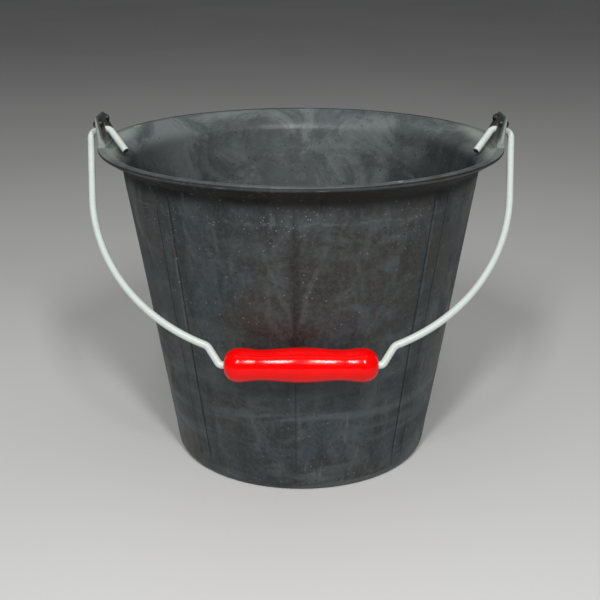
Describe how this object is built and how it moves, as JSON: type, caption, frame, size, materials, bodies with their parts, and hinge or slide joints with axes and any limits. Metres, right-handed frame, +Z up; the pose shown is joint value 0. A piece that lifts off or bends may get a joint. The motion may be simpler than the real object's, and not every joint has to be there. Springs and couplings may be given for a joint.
{
  "type": "rubber bucket",
  "caption": "Tapered black rubber bucket with a flared lip, riveted ear lugs, a hooked wire bail that swings and a red grip that turns.",
  "frame": {"origin": "centre of the base, on the surface that the bucket stands on", "axes": "+Z up, +X through the right ear lug along the bail pivot line, -Y towards the side where the bail rests"},
  "size_m": [0.3386, 0.3198, 0.278],
  "materials": {
    "rubber": "black vulcanised rubber with a grey bloom and scuffs",
    "insert_steel": "plain zinc-plated steel sheet and tube",
    "rivet_steel": "dark oxidised steel",
    "coated_wire": "smooth white coating on steel wire",
    "grip_plastic": "glossy moulded red plastic"
  },
  "bodies": {
    "bucket": {"bucket_shell": "rubber", "ear_plate_left": "insert_steel", "ear_plate_right": "insert_steel", "ear_bush_left": "insert_steel", "ear_bush_right": "insert_steel", "ear_rivet_front_left": "rivet_steel", "ear_rivet_rear_left": "rivet_steel", "ear_rivet_front_right": "rivet_steel", "ear_rivet_rear_right": "rivet_steel", "rivet_burr_front_left": "rivet_steel", "rivet_burr_rear_left": "rivet_steel", "rivet_burr_front_right": "rivet_steel", "rivet_burr_rear_right": "rivet_steel"},
    "bail": {"bail_wire": "coated_wire"},
    "grip": {"bail_grip": "grip_plastic"}
  },
  "joints": [
    {"name": "bail_swing", "type": "hinge", "parent": "bucket", "child": "bail", "pos_m": [0, 0, 0.266], "axis": [-1, 0, 0], "range_deg": [0, 273.2]},
    {"name": "grip_spin", "type": "hinge", "parent": "bail", "child": "grip", "pos_m": [0, -0.13699, 0.1211], "axis": [1, 0, 0], "continuous": true}
  ]
}
